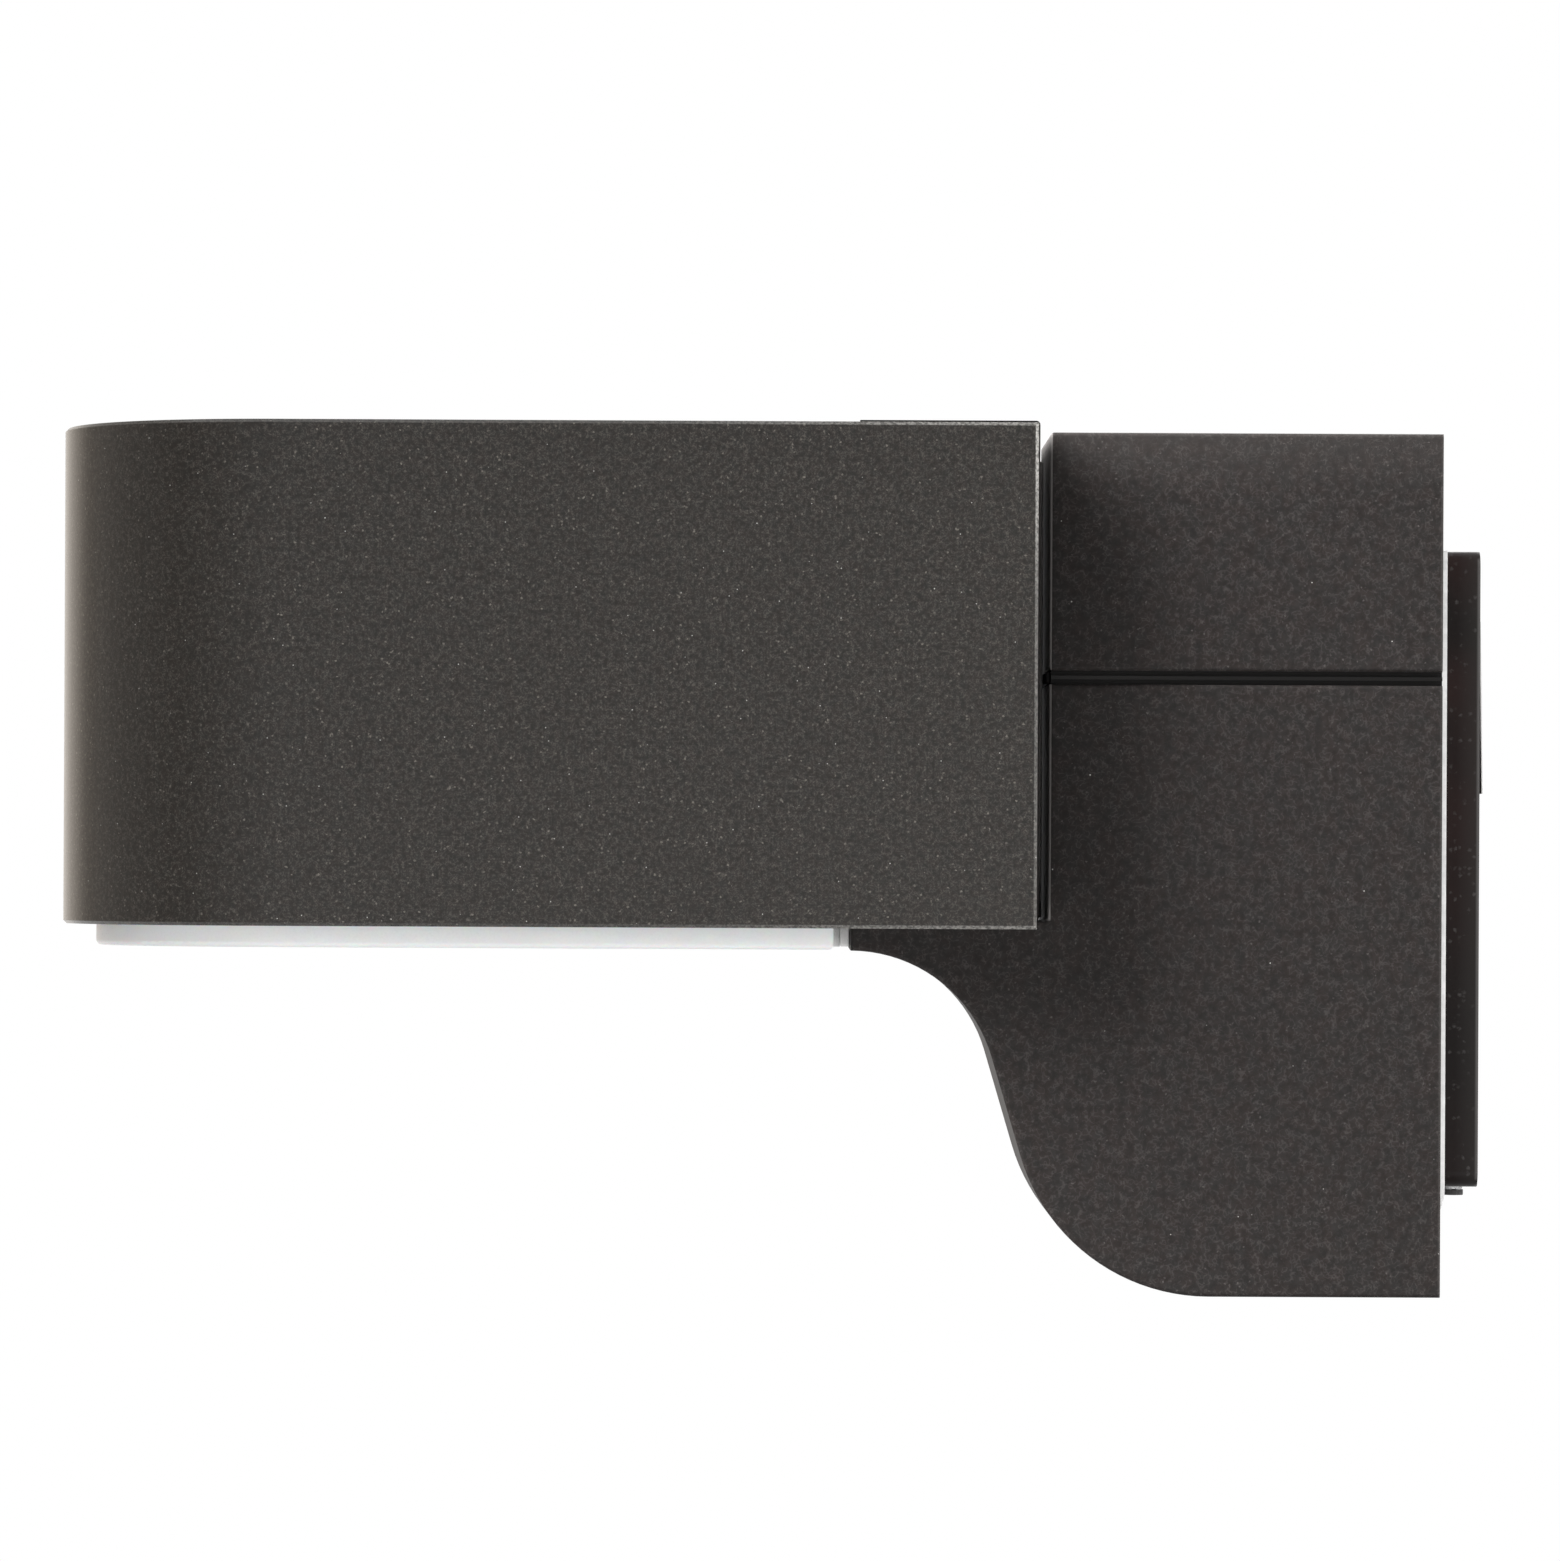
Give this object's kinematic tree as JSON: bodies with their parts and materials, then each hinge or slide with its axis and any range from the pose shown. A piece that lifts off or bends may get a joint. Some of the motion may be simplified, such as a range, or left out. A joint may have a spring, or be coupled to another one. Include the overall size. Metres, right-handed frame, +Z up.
{
  "type": "outdoor wall light",
  "caption": "Outdoor wall light: S-shaped cast bracket on a wall plate, holding a horizontal U-shaped shade with a screw-in lamp above a pull-down opal diffuser.",
  "frame": {"origin": "middle of the wall plate's back, on the wall", "axes": "+X into the wall, so the shade points along -X; +Z up; Y side to side"},
  "size_m": [0.273, 0.087, 0.1663],
  "materials": {
    "black_plastic": "fine moulded grain",
    "black_rubber": "matt",
    "zinc_sheet": "zinc plated",
    "zinc_screw": "zinc plated",
    "cast_anthracite": "textured powder coat on a casting",
    "shade_anthracite": "metallic powder coat",
    "white_sheet": "white paint",
    "white_plastic": "moulded",
    "clear_silicone": "satin",
    "opal_plastic": "opal, satin",
    "grey_plastic": "moulded",
    "porcelain": "glazed porcelain",
    "nickel_brass": "nickel plated",
    "spring_brass": "plain",
    "solder": "domed solder",
    "black_insulator": "glassy",
    "lamp_nickel": "thin nickel-plated cap over a plastic core",
    "lamp_white": "moulded",
    "opal_globe": "opal, satin",
    "ivory_plastic": "moulded",
    "brown_insulation": "silicone",
    "blue_insulation": "silicone",
    "green_insulation": "silicone"
  },
  "bodies": {
    "fixture": {"wall_plate": "black_plastic", "cable_grommet": "black_rubber", "back_plate": "zinc_sheet", "back_plate_screws": "zinc_screw", "locking_screws": "zinc_screw", "arm_casting": "cast_anthracite", "joint_gasket": "black_rubber", "upper_cover": "cast_anthracite", "cover_screws": "zinc_screw", "lamp_block": "cast_anthracite", "arm_screws": "zinc_screw", "holder_plate": "white_sheet", "block_screws": "zinc_screw", "shade_band": "shade_anthracite", "shade_nuts": "zinc_screw", "top_lid": "shade_anthracite", "diffuser_frame": "white_plastic", "holder_body": "porcelain", "holder_ring": "white_plastic", "holder_shell": "nickel_brass", "holder_contact": "spring_brass", "terminal_block": "ivory_plastic", "terminal_screws": "spring_brass", "wire_bush": "black_rubber", "live_wire": "brown_insulation", "neutral_wire": "blue_insulation", "earth_wire": "green_insulation", "earth_screw": "spring_brass"},
    "diffuser": {"diffuser_tray": "opal_plastic", "diffuser_seal": "clear_silicone", "diffuser_catch": "grey_plastic"},
    "lamp": {"lamp_contact": "solder", "lamp_insulator": "black_insulator", "lamp_cap": "lamp_nickel", "lamp_collar": "lamp_white", "lamp_globe": "opal_globe"}
  },
  "joints": [
    {"name": "diffuser_slide", "type": "slide", "parent": "fixture", "child": "diffuser", "axis": [0, 0, -1], "range_m": [0, 0.045]},
    {"name": "lamp_turn", "type": "hinge", "parent": "fixture", "child": "lamp", "pos_m": [-0.15, 0, 0.035], "axis": [1, 0, 0], "continuous": true}
  ]
}
